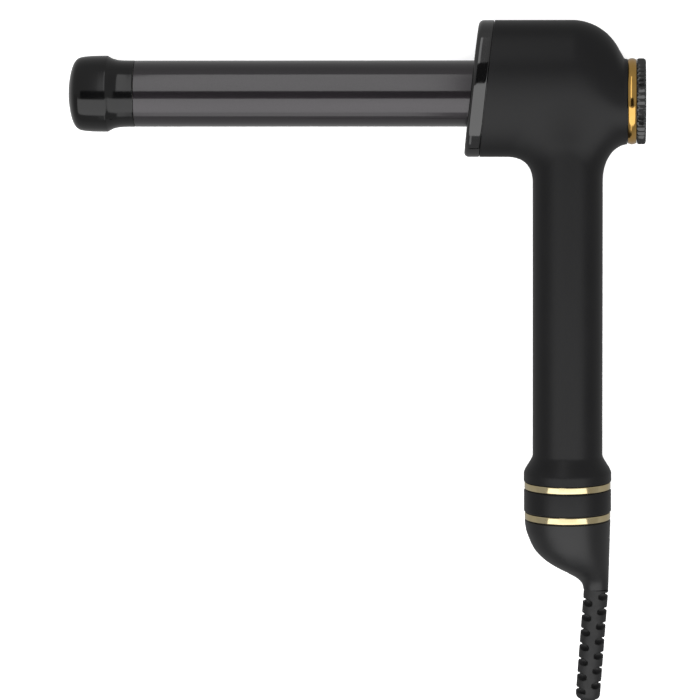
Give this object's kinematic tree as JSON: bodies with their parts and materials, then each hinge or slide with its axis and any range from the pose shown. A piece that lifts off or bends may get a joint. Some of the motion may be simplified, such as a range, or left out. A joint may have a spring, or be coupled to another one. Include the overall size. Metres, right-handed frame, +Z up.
{
  "type": "right-angle hair curler",
  "caption": "Clipless curling iron with a round barrel set at a right angle to a slim handle, a rear heat dial with push button, and a mains cord on a swivelling tail.",
  "frame": {"origin": "on the surface that the curler lies on, under the middle of its box without the cord", "axes": "the curler lies on its side: +X points from the barrel's tip towards the dial, +Y from the cord end of the handle towards the head, +Z up"},
  "size_m": [0.2788, 0.5148, 0.0429],
  "materials": {
    "soft_touch_black": "soft-touch matte black",
    "gloss_black": "high-gloss black",
    "barrel_coating": "smooth gunmetal heat coating",
    "gold_trim": "polished gold plating",
    "knurled_black": "ridged black",
    "cord_rubber": "matte black jacket",
    "inner_plastic": "natural heat-resistant plastic",
    "steel": "zinc plated",
    "copper": "bare copper alloy",
    "ceramic": "unglazed white ceramic",
    "circuit_board": "solder-mask green",
    "lead_red": "silicone sleeve",
    "lead_white": "silicone sleeve",
    "aluminium": "die-cast"
  },
  "bodies": {
    "housing": {"housing_front": "soft_touch_black", "housing_rear": "soft_touch_black", "grip_band": "soft_touch_black", "cool_tip_cap": "gloss_black", "front_collar": "gloss_black", "dial_hub": "gloss_black", "barrel_tube": "barrel_coating", "dial_trim_ring": "gold_trim", "upper_trim_ring": "gold_trim", "lower_trim_ring": "gold_trim", "tip_insert": "inner_plastic", "button_switch": "inner_plastic", "relay": "inner_plastic", "swivel_socket": "inner_plastic", "swivel_bush": "inner_plastic", "heater_clamp_upper": "aluminium", "heater_clamp_lower": "aluminium", "thermal_fuse": "steel", "barrel_flange": "aluminium", "capacitor": "steel", "housing_screw_1": "steel", "housing_screw_2": "steel", "housing_screw_3": "steel", "housing_screw_4": "steel", "flange_screw_1": "steel", "flange_screw_2": "steel", "flange_screw_3": "steel", "flange_screw_4": "steel", "brush_contact_1": "copper", "brush_contact_2": "copper", "heater_element": "ceramic", "thermistor": "ceramic", "heat_shield": "ceramic", "control_board": "circuit_board", "dial_sensor": "circuit_board", "heater_lead_1": "lead_red", "handle_lead_1": "lead_red", "heater_lead_2": "lead_white", "handle_lead_2": "lead_white"},
    "dial": {"temperature_dial": "knurled_black"},
    "button": {"power_button": "gold_trim"},
    "tail": {"tail_cap": "soft_touch_black", "swivel_core": "inner_plastic", "swivel_clip": "steel", "slip_ring_1": "copper", "slip_ring_2": "copper", "strain_relief": "cord_rubber", "cord_lead": "cord_rubber", "cord_coil": "cord_rubber", "cord_end": "cord_rubber", "coil_tie": "soft_touch_black", "plug_body": "cord_rubber", "plug_blade_1": "steel", "plug_blade_2": "steel"}
  },
  "joints": [
    {"name": "dial_turn", "type": "hinge", "parent": "housing", "child": "dial", "pos_m": [0.1372, 0.127, 0.0213], "axis": [1, 0, 0], "range_deg": [0, 270]},
    {"name": "button_press", "type": "slide", "parent": "housing", "child": "button", "axis": [-1, 0, 0], "range_m": [0, 0.0012], "stiffness_N_per_m": 600},
    {"name": "tail_swivel", "type": "hinge", "parent": "housing", "child": "tail", "pos_m": [0.1018, -0.0768, 0.0213], "axis": [0, 1, 0], "continuous": true}
  ]
}
